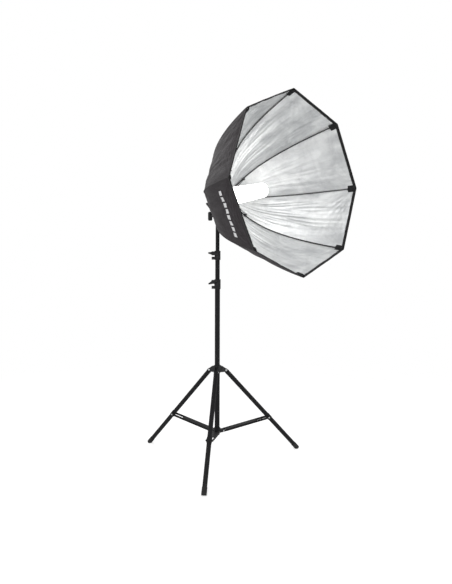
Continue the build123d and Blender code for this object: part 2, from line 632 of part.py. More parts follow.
os.makedirs("parts", exist_ok=True)
place = Location((STAND_X, STAND_Y, 0))
for name, solids in nodes.items():
    export_step(Compound(children=[solid.moved(place) for solid in solids]), f"parts/{name}.step")
everything = [solid.moved(place) for solids in nodes.values() for solid in solids]
whole = Compound(children=everything).bounding_box()
print(len(nodes), "nodes, from", whole.min, "to", whole.max)
print("runner pivot and stretcher direction at full fold:", folded_runner())
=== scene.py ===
"""Looks of an octagonal umbrella softbox on its light stand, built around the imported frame.

Metres, +Z up. The shell's own coordinates are a panel number, a share across the panel from one
rib to the next, and the radius that the shell's corners have there. Everything else is worked out
from the frame's joints and nodes.
"""
import json
from math import cos, exp, hypot, pi, radians, sin

import bpy
from mathutils import Matrix, Vector, noise


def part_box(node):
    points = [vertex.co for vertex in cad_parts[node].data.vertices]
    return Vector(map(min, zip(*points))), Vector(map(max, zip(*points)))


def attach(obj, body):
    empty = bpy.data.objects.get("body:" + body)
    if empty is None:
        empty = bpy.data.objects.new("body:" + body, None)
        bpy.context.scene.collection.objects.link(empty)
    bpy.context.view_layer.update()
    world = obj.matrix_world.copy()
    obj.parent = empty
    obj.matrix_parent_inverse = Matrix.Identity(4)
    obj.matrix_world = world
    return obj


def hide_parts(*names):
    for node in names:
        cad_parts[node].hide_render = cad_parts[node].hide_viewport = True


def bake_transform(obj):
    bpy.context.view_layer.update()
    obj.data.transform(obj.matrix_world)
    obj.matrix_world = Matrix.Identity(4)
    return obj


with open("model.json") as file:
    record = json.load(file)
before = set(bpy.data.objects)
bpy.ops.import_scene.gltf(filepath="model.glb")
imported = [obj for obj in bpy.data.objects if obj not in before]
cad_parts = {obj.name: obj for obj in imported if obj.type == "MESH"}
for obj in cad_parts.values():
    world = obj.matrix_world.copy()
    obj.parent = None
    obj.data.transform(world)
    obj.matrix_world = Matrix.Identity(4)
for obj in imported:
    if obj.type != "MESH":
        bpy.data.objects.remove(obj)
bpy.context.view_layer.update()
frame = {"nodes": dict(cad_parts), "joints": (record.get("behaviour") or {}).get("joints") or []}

# ---- camera ----
CAMERA_DISTANCE = 3.152
CAMERA_HEIGHT = 1.104
CAMERA_AZIMUTH = -41.36
CAMERA_YAW = 0.76
CAMERA_PITCH = -4.785
CAMERA_ROLL = 0.203
CAMERA_LENS = 39.93
CAMERA_SENSOR = 36
CAMERA_FAR = 60

# ---- light and floor ----
LAMPS = (
    ("key", (-3.0, -2.0, 3.0), 1.6, 60),
    ("fill", (1.6, -3.4, 2.0), 2.0, 16),
    ("rim", (0.5, 2.8, 2.6), 1.6, 10),
)
WORLD_LIGHT = 0.56
FLOOR_GLOW = 0.46
FLOOR_SIZE = 14
FLOOR_STEPS = 20
FLOOR_HEIGHT = -0.0005
FLOOR_FADE = (1.0, 2.6)
BULB_GLOW = 4.6

# ---- shell of the softbox ----
PANELS = 8
SHELL_DEPTH = 0.450
SHELL_POWER = 2.75
STRAIGHT_BELOW = 0.125
CLOTH = 0.0007
SAG = -0.0025
FOLD_HEIGHT = 0.0042
CREASE_HEIGHT = 0.0020
PULL_HEIGHT = 0.0034
PULL_REACH = 0.11
PULL_RAYS = (17, 29)
FOLDS_ACROSS = 5.5
FOLDS_ALONG = 1.6
CREASES_ACROSS = 13.0
CREASES_ALONG = 3.2
SEED_STEP = 7.31
CALM_EDGE = 0.03
RIDGE_SHARE = 0.04
ACROSS_STEPS = 30
ALONG_STEPS = 110
THREAD_STEP = 1.37
THREAD_SCALE = 420.0
HEM_DEEP = 0.0125
HEM_THICK = 0.0030
HEM_ROUND = 6
POCKET_LONG = 0.034
POCKET_HALF = 0.0165
POCKET_HIGH = 0.0115
POCKET_BASE = 0.0022
POCKET_THICK = 0.0013
POCKET_CELLS = (16, 12)
OUTER_SEAM = (0.0030, 0.0014)
# Half width and height of the dark raised strip on the lining along each rib.
DARK_LINING_STRIP = (0.0016, -0.0012)
SEAM_START = 0.004
MARK_PANEL = 6
MARK_BARS = 8
MARK_PITCH = 0.094
MARK_FILL = 0.36
MARK_START = 0.112
MARK_TALL = 0.024
MARK_STEPS = 5
MARK_TOP = 0.0006
MARK_UNDER = 0.0001

# ---- stand ----
BRACE_END = (0.2825, 0.1873)
BRACE_OUTSIDE = 0.0174
LEG_OUTSIDE = 0.0113
LEG_RIVET = (0.0047, 0.0016)
BRACE_RIVET = (0.0041, 0.0015)
BRACE_END_RIVET = (0.0039, 0.0014)
RIVET_SIDES = 28

JOINTS = {joint["name"]: joint for joint in frame["joints"]}
RIBS = range(1, PANELS + 1)


def rib_hinge(rib):
    return JOINTS["umbrella_fold" if rib == 1 else f"rib_{rib}_hinge"]


HINGES = [Vector(rib_hinge(rib)["pos_m"]) for rib in RIBS]
HUB = sum(HINGES, Vector()) / PANELS
AHEAD = -Vector(JOINTS["runner_slide"]["axis"]).normalized()
RIB_WAYS = [(hinge - HUB).normalized() for hinge in HINGES]
HALF_PANEL = pi / PANELS
STAND = sum(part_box("base_tube"), Vector()) / 2


def radial(point):
    """How far a point is from the beam axis."""
    arm = point - HUB
    return (arm - AHEAD * arm.dot(AHEAD)).length


GORE_POINTS = [vertex.co.copy() for vertex in frame["nodes"]["gore_1"].data.vertices]
MOUTH = HUB + AHEAD * max((point - HUB).dot(AHEAD) for point in GORE_POINTS)
MOUTH_RADIUS = max(radial(point) for point in GORE_POINTS)
HOLE_RADIUS = min(radial(point) for point in GORE_POINTS)


# ---------------------------------------------------------------- node and mesh helpers

def node(tree, kind, inputs=None, **settings):
    """A shader node with its settings, values and links."""
    made = tree.nodes.new("ShaderNode" + kind)
    for name, value in settings.items():
        setattr(made, name, value)
    for socket, value in (inputs or {}).items():
        if isinstance(value, bpy.types.NodeSocket):
            tree.links.new(value, made.inputs[socket])
        else:
            made.inputs[socket].default_value = value
    return made


def finish_of(name, colour, roughness, metallic=0.0, **constants):
    """A Principled material with its constants, and its tree and shader."""
    material = bpy.data.materials.new(name)
    material.use_nodes = True
    tree = material.node_tree
    shader = tree.nodes["Principled BSDF"]
    shader.inputs["Base Color"].default_value = (*colour, 1)
    shader.inputs["Roughness"].default_value = roughness
    shader.inputs["Metallic"].default_value = metallic
    for socket, value in constants.items():
        shader.inputs[socket.replace("_", " ")].default_value = value
    return material, tree, shader


def places(tree):
    """The piece's own coordinates, in metres."""
    return node(tree, "TexCoord").outputs["Object"]


def cloth_places(tree, across_scale, along_scale):
    """The cloth's coordinates along and across its threads, scaled."""
    flat = node(tree, "UVMap", uv_map="threads").outputs["UV"]
    scale = (across_scale, along_scale, 1)
    return node(tree, "Mapping", {"Vector": flat, "Scale": scale}).outputs["Vector"]


def noise_at(tree, where, scale, detail=4.0, roughness=0.55, distortion=0.0):
    return node(tree, "TexNoise", {"Vector": where, "Scale": scale, "Detail": detail,
                                   "Roughness": roughness, "Distortion": distortion}).outputs["Fac"]


def ramp(tree, factor, low, high, dark, light):
    """A colour ramp from dark to light between two values of the factor."""
    made = node(tree, "ValToRGB", {"Fac": factor})
    first, last = made.color_ramp.elements
    first.position, first.color = low, (*dark, 1)
    last.position, last.color = high, (*light, 1)
    return made.outputs["Color"]


def spread_between(tree, factor, low, high):
    """A factor from 0 to 1, spread from low to high."""
    return node(tree, "MapRange", {"Value": factor, "From Min": 0.3, "From Max": 0.7,
                                   "To Min": low, "To Max": high}).outputs["Result"]


def bump(tree, shader, *layers):
    """Stacks bump layers of (height, distance in metres, strength) on a shader."""
    normal = None
    for height, distance, strength in layers:
        inputs = {"Height": height, "Distance": distance, "Strength": strength}
        if normal is not None:
            inputs["Normal"] = normal
        normal = node(tree, "Bump", inputs).outputs["Normal"]
    tree.links.new(normal, shader.inputs["Normal"])


def feed(tree, shader, **outputs):
    for socket, value in outputs.items():
        tree.links.new(value, shader.inputs[socket.replace("_", " ")])


# ---------------------------------------------------------------- materials

def woven_black():
    """Black nylon: a fine plain weave, faintly blotched."""
    material, tree, shader = finish_of("woven_black", (0.028, 0.023, 0.026), 0.66, Sheen_Weight=0.04,
                                       Sheen_Roughness=0.4, Specular_IOR_Level=0.15)
    flat = cloth_places(tree, 1, 1)
    blotch = noise_at(tree, flat, 14, detail=5)
    streak = noise_at(tree, cloth_places(tree, 40, 8), 1.0)
    weave = {"Vector": flat, "Scale": THREAD_SCALE}
    warp = node(tree, "TexWave", weave, bands_direction="X").outputs["Fac"]
    weft = node(tree, "TexWave", weave, bands_direction="Y").outputs["Fac"]
    threads = node(tree, "Math", {0: warp, 1: weft}, operation="MULTIPLY").outputs["Value"]
    feed(tree, shader,
         Base_Color=ramp(tree, blotch, 0.3, 0.75, (0.027, 0.022, 0.025), (0.040, 0.034, 0.038)),
         Roughness=spread_between(tree, streak, 0.5, 0.68))
    bump(tree, shader, (threads, 0.0004, 0.35), (streak, 0.0006, 0.15), (blotch, 0.003, 0.15))
    return material


def silver_lining():
    """Silver-coated lining: a satin coat, crinkled finely and mottled where it has been folded."""
    material, tree, shader = finish_of("silver_lining", (0.74, 0.75, 0.76), 0.42, metallic=0.5)
    flat = cloth_places(tree, 1, 1)
    cloud = noise_at(tree, flat, 11, detail=7, roughness=0.62, distortion=0.8)
    streak = noise_at(tree, cloth_places(tree, 15, 3.5), 1.0, detail=5, distortion=0.7)
    crinkle = node(tree, "TexVoronoi", {"Vector": flat, "Scale": 70.0},
                   feature="SMOOTH_F1").outputs["Distance"]
    grain = noise_at(tree, flat, 420, detail=3)
    mixed = node(tree, "Math", {0: cloud, 1: streak}, operation="ADD").outputs["Value"]
    shade = node(tree, "Math", {0: mixed, 1: 0.5}, operation="MULTIPLY").outputs["Value"]
    feed(tree, shader,
         Base_Color=ramp(tree, shade, 0.38, 0.60, (0.56, 0.57, 0.58), (0.86, 0.87, 0.87)),
         Roughness=spread_between(tree, cloud, 0.34, 0.52))
    bump(tree, shader, (streak, 0.007, 0.4), (cloud, 0.006, 0.4),
         (crinkle, 0.0012, 0.4), (grain, 0.0004, 0.4))
    return material


def ribbed_tape(name, colour):
    """Woven binding tape with a cross rib."""
    material, tree, shader = finish_of(name, colour, 0.72, Sheen_Weight=0.05, Specular_IOR_Level=0.2)
    flat = cloth_places(tree, 1, 1)
    ribs = node(tree, "TexWave", {"Vector": flat, "Scale": 260.0, "Distortion": 0.4},
                bands_direction="X").outputs["Fac"]
    fluff = noise_at(tree, places(tree), 300)
    light = tuple(min(1.0, 1.7 * part) for part in colour)
    feed(tree, shader, Base_Color=ramp(tree, fluff, 0.3, 0.8, colour, light))
    bump(tree, shader, (ribs, 0.0005, 0.5), (fluff, 0.0004, 0.3))
    return material


def powder_coat():
    """Satin black powder coat with its orange-peel skin, rubbed a little along its edges."""
    material, tree, shader = finish_of("powder_coat", (0.012, 0.012, 0.013), 0.48, Specular_IOR_Level=0.16)
    where = places(tree)
    peel = noise_at(tree, where, 700, detail=2)
    smear = noise_at(tree, where, 28, detail=5)
    worn = node(tree, "NewGeometry").outputs["Pointiness"]
    rubbed = noise_at(tree, where, 160)
    patchy = node(tree, "Math", {0: worn, 1: rubbed}, operation="MULTIPLY").outputs["Value"]
    feed(tree, shader,
         Base_Color=ramp(tree, patchy, 0.40, 0.50, (0.012, 0.012, 0.013), (0.12, 0.12, 0.12)),
         Roughness=spread_between(tree, smear, 0.4, 0.58))
    bump(tree, shader, (peel, 0.00025, 0.3), (smear, 0.0006, 0.15))
    return material


def moulded(name, dark, light, roughness, grain_scale):
    """Moulded plastic or rubber with a spark-eroded grain."""
    material, tree, shader = finish_of(name, dark, roughness, Specular_IOR_Level=0.3)
    where = places(tree)
    grain = noise_at(tree, where, grain_scale, detail=3)
    handled = noise_at(tree, where, 45, detail=5)
    worn = node(tree, "NewGeometry").outputs["Pointiness"]
    edge = node(tree, "Math", {0: worn, 1: handled}, operation="MULTIPLY").outputs["Value"]
    feed(tree, shader,
         Base_Color=ramp(tree, edge, 0.26, 0.46, dark, light),
         Roughness=spread_between(tree, handled, roughness - 0.09, roughness + 0.09))
    bump(tree, shader, (grain, 0.0003, 0.35), (handled, 0.0008, 0.1))
    return material


def bright_zinc():
    """Bright zinc plate, brushed and slightly clouded."""
    material, tree, shader = finish_of("bright_zinc", (0.72, 0.73, 0.74), 0.28, metallic=1.0)
    where = places(tree)
    cloud = noise_at(tree, where, 220, detail=4)
    along_brush = node(tree, "Mapping", {"Vector": where, "Scale": (900, 900, 60)}).outputs["Vector"]
    brushed = noise_at(tree, along_brush, 1.0)
    feed(tree, shader,
         Base_Color=ramp(tree, cloud, 0.3, 0.7, (0.60, 0.61, 0.62), (0.80, 0.81, 0.81)),
         Roughness=spread_between(tree, brushed, 0.2, 0.38))
    bump(tree, shader, (brushed, 0.0001, 0.4))
    return material


def lacquered_steel():
    """Thin black lacquer on drawn spring steel."""
    material, tree, shader = finish_of("lacquered_steel", (0.02, 0.02, 0.021), 0.32)
    where = places(tree)
    drawn = noise_at(tree, where, 500, detail=3)
    chips = noise_at(tree, where, 90, detail=6, roughness=0.7)
    feed(tree, shader,
         Base_Color=ramp(tree, chips, 0.68, 0.78, (0.018, 0.018, 0.019), (0.14, 0.14, 0.14)),
         Roughness=spread_between(tree, chips, 0.26, 0.42))
    bump(tree, shader, (drawn, 0.0001, 0.3))
    return material


def lit_opal():
    """The lit opal envelope: an even glow, a touch softer in fine clouds, under clear gloss."""
    material, tree, shader = finish_of("lit_opal", (0.97, 0.97, 0.95), 0.18, Emission_Strength=BULB_GLOW)
    cloud = noise_at(tree, places(tree), 35, detail=3)
    feed(tree, shader,
         Base_Color=ramp(tree, cloud, 0.3, 0.7, (0.93, 0.93, 0.91), (0.98, 0.98, 0.97)),
         Emission_Color=ramp(tree, cloud, 0.3, 0.7, (1.0, 0.985, 0.955), (1.0, 1.0, 0.99)))
    return material


def white_moulding():
    """White moulded plastic with a fine grain."""
    material, tree, shader = finish_of("white_moulding", (0.84, 0.84, 0.81), 0.34)
    where = places(tree)
    cloud = noise_at(tree, where, 60, detail=4)
    feed(tree, shader,
         Base_Color=ramp(tree, cloud, 0.3, 0.7, (0.80, 0.80, 0.76), (0.88, 0.88, 0.86)),
         Roughness=spread_between(tree, cloud, 0.28, 0.42))
    bump(tree, shader, (noise_at(tree, where, 800, detail=2), 0.0001, 0.25))
    return material


def screen_ink():
    """Off-white ink on woven cloth, slightly broken by the weave."""
    material, tree, shader = finish_of("screen_ink", (0.82, 0.82, 0.83), 0.6)
    broken = noise_at(tree, cloth_places(tree, 1, 1), 380, detail=4)
    feed(tree, shader,
         Base_Color=ramp(tree, broken, 0.28, 0.5, (0.42, 0.42, 0.43), (0.86, 0.86, 0.87)))
    bump(tree, shader, (broken, 0.0002, 0.4))
    return material


def pale_floor():
    """A white sweep that fades out far from the object."""
    material, tree, shader = finish_of("pale_floor", (0.93, 0.93, 0.93), 0.7)
    where = places(tree)
    far = node(tree, "VectorMath", {0: where}, operation="LENGTH").outputs["Value"]
    near_edge, far_edge = FLOOR_FADE
    fade = node(tree, "MapRange", {"Value": far, "From Min": near_edge,
                                   "From Max": far_edge}).outputs["Result"]
    clear = node(tree, "BsdfTransparent").outputs["BSDF"]
    shader.inputs["Emission Color"].default_value = (1, 1, 1, 1)
    seen = node(tree, "LightPath").outputs["Is Camera Ray"]
    glow = node(tree, "Math", {0: seen, 1: FLOOR_GLOW}, operation="MULTIPLY").outputs["Value"]
    tree.links.new(glow, shader.inputs["Emission Strength"])
    mixed = node(tree, "MixShader", {0: fade, 1: shader.outputs["BSDF"], 2: clear})
    tree.links.new(mixed.outputs["Shader"], tree.nodes["Material Output"].inputs["Surface"])
    bump(tree, shader, (noise_at(tree, where, 3), 0.001, 0.1))
    return material


CLOTH_BLACK = woven_black()
SILVER = silver_lining()
BINDING = ribbed_tape("binding_tape", (0.012, 0.011, 0.012))
POCKET_CLOTH = ribbed_tape("pocket_webbing", (0.011, 0.011, 0.012))
# One dark tape for the outer seams and for the dark strips on the lining.
SEAM_AND_STRIP_CLOTH = ribbed_tape("seam_tape", (0.034, 0.031, 0.033))
ZINC = bright_zinc()
INK = screen_ink()
BLACK_MOULDING = moulded("black_moulding", (0.012, 0.012, 0.013), (0.05, 0.05, 0.052), 0.5, 900)
FINISHES = {
    "cloth": CLOTH_BLACK,
    "black_paint": powder_coat(),
    "black_plastic": BLACK_MOULDING,
    "rubber": moulded("matt_rubber", (0.018, 0.018, 0.018), (0.05, 0.05, 0.05), 0.78, 500),
    "bright_steel": ZINC,
    "rib_steel": lacquered_steel(),
    "bulb_glass": lit_opal(),
    "bulb_collar": white_moulding(),
    "switch_plastic": moulded("gloss_switch", (0.02, 0.02, 0.02), (0.05, 0.05, 0.05), 0.24, 700),
}


def finish_cad_nodes():
    """Every CAD node takes the detailed finish of its own material slot."""
    for cad_node in frame["nodes"].values():
        for holder in cad_node.material_slots:
            holder.material = FINISHES[holder.material.name.split(".")[0]]


# ---------------------------------------------------------------- the shell's surface

def slope_at(radius):
    """How fast the shell's corner line comes forward with its radius."""
    share = max(radius, STRAIGHT_BELOW) / MOUTH_RADIUS
    return SHELL_DEPTH * SHELL_POWER / MOUTH_RADIUS * share ** (SHELL_POWER - 1)


def back_at(radius):
    """How far behind the mouth the shell's corner line is."""
    curve = SHELL_DEPTH * (1 - (max(radius, STRAIGHT_BELOW) / MOUTH_RADIUS) ** SHELL_POWER)
    return curve + slope_at(STRAIGHT_BELOW) * max(STRAIGHT_BELOW - radius, 0.0)


def even_radii(first, last, steps):
    """Radii from first down to last, at equal distances along the corner line, with those distances."""
    fine = 2000
    radii = [first + (last - first) * index / fine for index in range(fine + 1)]
    travelled = [0.0]
    for near, far in zip(radii, radii[1:]):
        travelled.append(travelled[-1] + hypot(near - far, back_at(far) - back_at(near)))
    picked = []
    index = 0
    for step in range(steps + 1):
        goal = travelled[-1] * step / steps
        while index < fine and travelled[index + 1] < goal:
            index += 1
        after = index + 1 if step else index
        picked.append((radii[min(after, fine)], goal))
    picked[0], picked[-1] = (first, 0.0), (last, travelled[-1])
    return picked


STATIONS = even_radii(MOUTH_RADIUS, HOLE_RADIUS, ALONG_STEPS)
MERIDIAN = STATIONS[-1][1]


def ribs_of(panel):
    """The directions of the two ribs that a panel is stretched between."""
    return RIB_WAYS[(panel - 1) % PANELS], RIB_WAYS[panel % PANELS]


def facing(panel, share, radius):
    """The outward direction of the shell. It turns over at the ribs, where two panels meet."""
    first, second = ribs_of(panel)
    slope = slope_at(radius)
    middle = (first + second).normalized()
    flat = (middle * slope - AHEAD * cos(HALF_PANEL)).normalized()
    near_rib = min(share, 1 - share) / RIDGE_SHARE
    if near_rib >= 1:
        return flat
    rib = first if share < 0.5 else second
    ridge = (rib * slope - AHEAD).normalized()
    return ridge.lerp(flat, near_rib).normalized()


def relief(panel, share, along):
    """How far the cloth stands inside the flat panel: sag, long folds, and pulls from the corners."""
    middle = sin(pi * share)
    depth = along / MERIDIAN
    sag = SAG * middle * sin(pi * min(1.0, 0.12 + 0.88 * depth))
    swell = middle ** 0.7 * (0.25 + 0.75 * sin(pi * min(1.0, 0.1 + 0.9 * depth)))
    seed = panel * SEED_STEP
    drift = 0.35 * noise.noise(Vector((depth * 2.2, seed, 3.0)))
    long_fold = noise.noise(Vector((share * FOLDS_ACROSS + drift + seed, depth * FOLDS_ALONG, seed)))
    crease_place = (share * CREASES_ACROSS + drift * 2 + seed, depth * CREASES_ALONG, seed + 5.0)
    crease = noise.noise(Vector(crease_place))
    folds = FOLD_HEIGHT * long_fold + CREASE_HEIGHT * (1 - 2.4 * abs(crease))
    pulls = 0.0
    width = 2 * MOUTH_RADIUS * sin(HALF_PANEL)
    slow_rays, fast_rays = PULL_RAYS
    for corner, away in ((0, share), (1, 1 - share)):
        reach = hypot(away * width, along) + 1e-6
        angle = along / reach
        fan = sin(angle * slow_rays + panel * 2.1 + corner) * sin(angle * fast_rays + panel)
        pulls += PULL_HEIGHT * fan * exp(-reach / PULL_REACH) * min(1.0, reach / CALM_EDGE)
    calm = min(1.0, 0.35 + along / CALM_EDGE)
    return sag + (folds * swell + pulls * middle ** 0.5) * calm


def on_shell(panel, share, radius, along, lift=0.0):
    """A point on the cloth's outer face, or lifted off it outwards."""
    first, second = ribs_of(panel)
    flat = first.lerp(second, share) * radius - AHEAD * back_at(radius)
    out = facing(panel, share, radius)
    return MOUTH + flat + out * (lift - relief(panel, share, along))


def panel_and_share(rib, side, part):
    """The panel on one side of a rib, and the share across it, with part 0 on the rib and 1 midway."""
    if side > 0:
        return rib, part / 2
    return (rib - 2) % PANELS + 1, 1 - part / 2


def thread_place(panel, share, radius, along):
    """The cloth's own flat coordinates, in metres."""
    width = 2 * radius * sin(HALF_PANEL)
    return (panel * THREAD_STEP + (share - 0.5) * width, along)


# ---------------------------------------------------------------- building meshes

def piece_from(name, points, faces, slots, materials, flats=None):
    """A mesh piece. slots gives each face's material, flats each point's thread coordinates."""
    mesh = bpy.data.meshes.new(name)
    mesh.from_pydata([tuple(point) for point in points], [], faces)
    for material in materials:
        mesh.materials.append(material)
    mesh.polygons.foreach_set("material_index", slots)
    mesh.polygons.foreach_set("use_smooth", [True] * len(faces))
    if flats:
        layer = mesh.uv_layers.new(name="threads")
        for loop in mesh.loops:
            layer.data[loop.index].uv = flats[loop.vertex_index]
    mesh.update()
    piece = bpy.data.objects.new(name, mesh)
    bpy.context.scene.collection.objects.link(piece)
    return piece


def slab(name, outer, inner, materials, flats):
    """A closed sheet between two equal grids of points, with materials for its outer face, its inner
    face and its rim. Where there is one material, all of them take it."""
    rows, columns = len(outer), len(outer[0])
    points = [point for grid in (outer, inner) for row in grid for point in row]
    places_flat = [flat for row in flats + flats for flat in row]
    shift = rows * columns
    last_slot = len(materials) - 1
    faces = []
    slots = []
    for row in range(rows - 1):
        for column in range(columns - 1):
            a = row * columns + column
            b = a + 1
            c, d = a + columns, b + columns
            faces += [(a, b, d, c), (a + shift, c + shift, d + shift, b + shift)]
            slots += [0, min(1, last_slot)]
    rim = [list(reversed(range(columns))),
           list(range((rows - 1) * columns, rows * columns)),
           [row * columns for row in range(rows)],
           [row * columns + columns - 1 for row in reversed(range(rows))]]
    for line in rim:
        for a, b in zip(line, line[1:]):
            faces.append((a, b, b + shift, a + shift))
            slots.append(last_slot)
    piece = piece_from(name, points, faces, slots, materials, places_flat)
    lines = rim + [[index + shift for index in line] for line in rim]
    sharpen(piece, [pair for line in lines for pair in zip(line, line[1:])])
    return piece


def sharpen(piece, pairs):
    """Marks the edges between these pairs of points as sharp, so that faces keep their own shading."""
    wanted = {frozenset(pair) for pair in pairs}
    for edge in piece.data.edges:
        if frozenset(edge.vertices) in wanted:
            edge.use_edge_sharp = True


def face_outwards(piece):
    """Turns a closed mesh's faces outwards."""
    mesh = piece.data
    volume = 0.0
    for polygon in mesh.polygons:
        corners = [mesh.vertices[index].co - HUB for index in polygon.vertices]
        for second, third in zip(corners[1:], corners[2:]):
            volume += corners[0].dot(second.cross(third))
    if volume < 0:
        mesh.flip_normals()


def fold_with_rib(piece):
    """Bakes the piece's placement into its mesh."""
    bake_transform(piece)


# ---------------------------------------------------------------- the softbox's cloth

def make_half_panel(rib, side, name):
    """The cloth from a rib to the middle of the panel beside it."""
    outer, inner, flats = [], [], []
    for radius, along in STATIONS:
        outer_row, inner_row, flat_row = [], [], []
        for step in range(ACROSS_STEPS + 1):
            panel, share = panel_and_share(rib, side, step / ACROSS_STEPS)
            outer_row.append(on_shell(panel, share, radius, along))
            inner_row.append(on_shell(panel, share, radius, along, -CLOTH))
            flat_row.append(thread_place(panel, share, radius, along))
        outer.append(outer_row)
        inner.append(inner_row)
        flats.append(flat_row)
    piece = slab(f"cloth_{name}", outer, inner, [CLOTH_BLACK, SILVER, BINDING], flats)
    face_outwards(piece)
    return piece


def make_hem(rib, side, name):
    """The black tape folded over the mouth's edge."""
    profile = []
    half = HEM_THICK / 2
    for index in range(HEM_ROUND + 1):
        angle = pi * index / HEM_ROUND - pi / 2
        profile.append((-half * cos(angle), half * sin(angle)))
    outline = [(HEM_DEEP, -half)] + profile + [(HEM_DEEP, half)]
    rows, flats = [], []
    for step in range(ACROSS_STEPS + 1):
        panel, share = panel_and_share(rib, side, step / ACROSS_STEPS)
        ring, flat_ring = [], []
        for deep, lift in outline:
            along = max(deep, 0.0)
            radius = MOUTH_RADIUS - along / hypot(1, slope_at(MOUTH_RADIUS))
            point = on_shell(panel, share, radius, along, lift - CLOTH / 2)
            ring.append(point + AHEAD * max(-deep, 0.0))
            flat_ring.append((thread_place(panel, share, MOUTH_RADIUS, 0)[0], deep))
        rows.append(ring)
        flats.append(flat_ring)
    count = len(outline)
    points = [point for ring in rows for point in ring]
    faces = [tuple(reversed(range(count))), tuple(range(len(points) - count, len(points)))]
    for row in range(len(rows) - 1):
        for column in range(count):
            a, b = row * count + column, row * count + (column + 1) % count
            faces.append((a, b, b + count, a + count))
    piece = piece_from(f"hem_{name}", points, faces, [0] * len(faces), [BINDING],
                       [flat for ring in flats for flat in ring])
    ends = [list(range(count)), list(range(len(points) - count, len(points)))]
    sharpen(piece, [pair for end in ends for pair in zip(end, end[1:] + end[:1])])
    face_outwards(piece)
    return piece


def rib_side_point(rib, offset, radius, along, lift):
    """A point on the shell at a distance to one side of a rib."""
    side = 1 if offset >= 0 else -1
    width = 2 * radius * sin(HALF_PANEL)
    panel, share = panel_and_share(rib, side, 2 * abs(offset) / width)
    return on_shell(panel, share, radius, along, lift)


def make_pocket(rib):
    """The webbing pocket inside a corner that holds the rib's tip, as an arch over the rib."""
    columns, rows = POCKET_CELLS
    outer, inner, flats = [], [], []
    for row in range(rows + 1):
        along = HEM_DEEP * 0.25 + POCKET_LONG * row / rows
        radius = MOUTH_RADIUS - along / hypot(1, slope_at(MOUTH_RADIUS))
        closing = min(1.0, (row / rows + 0.12) * 4)
        outer_row, inner_row, flat_row = [], [], []
        for column in range(columns + 1):
            part = 2 * column / columns - 1
            arch = POCKET_HIGH * closing * max(0.0, cos(part * pi / 2)) ** 0.8
            offset = POCKET_HALF * part
            lift = -POCKET_BASE - arch
            outer_row.append(rib_side_point(rib, offset, radius, along, lift))
            inner_row.append(rib_side_point(rib, offset, radius, along, lift + POCKET_THICK))
            flat_row.append((rib * THREAD_STEP + offset, along))
        outer.append(outer_row)
        inner.append(inner_row)
        flats.append(flat_row)
    piece = slab(f"tip_pocket_{rib}", outer, inner, [POCKET_CLOTH], flats)
    face_outwards(piece)
    return piece


def make_rib_band(rib, lift, section, name, material, first=SEAM_START):
    """A narrow raised band along a rib: a seam on the outer face of the cloth, a dark strip on the inner
    face.
    """
    half, high = section
    outline = [(-1.0, -0.2), (-0.8, 0.6), (0.0, 1.0), (0.8, 0.6), (1.0, -0.2)]
    points, flats, faces = [], [], []
    used = [(radius, along) for radius, along in STATIONS if along >= first]
    for index, (radius, along) in enumerate(used):
        ripple = 1 + 0.16 * sin(index * 2.4) * sin(index * 0.9)
        for across, up in outline:
            points.append(rib_side_point(rib, across * half * ripple, radius, along, lift + up * high))
            flats.append((rib * THREAD_STEP + across * half, along))
    count = len(outline)
    for row in range(len(used) - 1):
        for column in range(count):
            a, b = row * count + column, row * count + (column + 1) % count
            faces.append((a, b, b + count, a + count))
    faces += [tuple(reversed(range(count))), tuple(range(len(points) - count, len(points)))]
    piece = piece_from(name, points, faces, [0] * len(faces), [material], flats)
    face_outwards(piece)
    return piece


def make_marks():
    """Plain pale bars printed across one panel."""
    columns = MARK_STEPS * 2
    for bar in range(MARK_BARS):
        middle = 0.5 + MARK_PITCH * (bar + 0.5 - MARK_BARS / 2)
        low, high = middle - MARK_FILL * MARK_PITCH, middle + MARK_FILL * MARK_PITCH
        outer, inner, flats = [], [], []
        for row in range(MARK_STEPS + 1):
            along = MARK_START + MARK_TALL * row / MARK_STEPS
            radius = radius_at(along)
            outer_row, inner_row, flat_row = [], [], []
            for column in range(columns + 1):
                share = low + (high - low) * column / columns
                outer_row.append(on_shell(MARK_PANEL, share, radius, along, MARK_TOP))
                inner_row.append(on_shell(MARK_PANEL, share, radius, along, MARK_UNDER))
                flat_row.append(thread_place(MARK_PANEL, share, radius, along))
            outer.append(outer_row)
            inner.append(inner_row)
            flats.append(flat_row)
        piece = slab(f"printed_bar_{bar + 1}", outer, inner, [INK], flats)
        face_outwards(piece)
        fold_with_rib(piece)


def radius_at(along):
    """The corner radius at a distance from the mouth along the corner line."""
    for (near, done), (far, gone) in zip(STATIONS, STATIONS[1:]):
        if gone >= along:
            return near + (far - near) * (along - done) / (gone - done)
    return HOLE_RADIUS


def make_cloth():
    """The half panels with their hems, and each rib's pocket, its seam on the outer cloth and its dark
    strip on the lining.
    """
    for rib in RIBS:
        rides = f"rib_{rib}"
        pocket = make_pocket(rib)
        outer_seam = make_rib_band(rib, 0.0, OUTER_SEAM, f"outer_seam_{rib}", SEAM_AND_STRIP_CLOTH)
        # A dark raised strip on the lining beneath the rib, from the pocket inwards.
        dark_lining_strip = make_rib_band(rib, -CLOTH, DARK_LINING_STRIP, f"dark_lining_strip_{rib}", SEAM_AND_STRIP_CLOTH, POCKET_LONG)
        for piece in (pocket, outer_seam, dark_lining_strip):
            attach(piece, rides)
        for side, letter in ((1, "a"), (-1, "b")):
            name = f"{rib}{letter}"
            cloth = make_half_panel(rib, side, name)
            hem = make_hem(rib, side, name)
            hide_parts(f"gore_{rib}")
            for piece in (cloth, hem):
                fold_with_rib(piece)
    make_marks()


# ---------------------------------------------------------------- small hardware

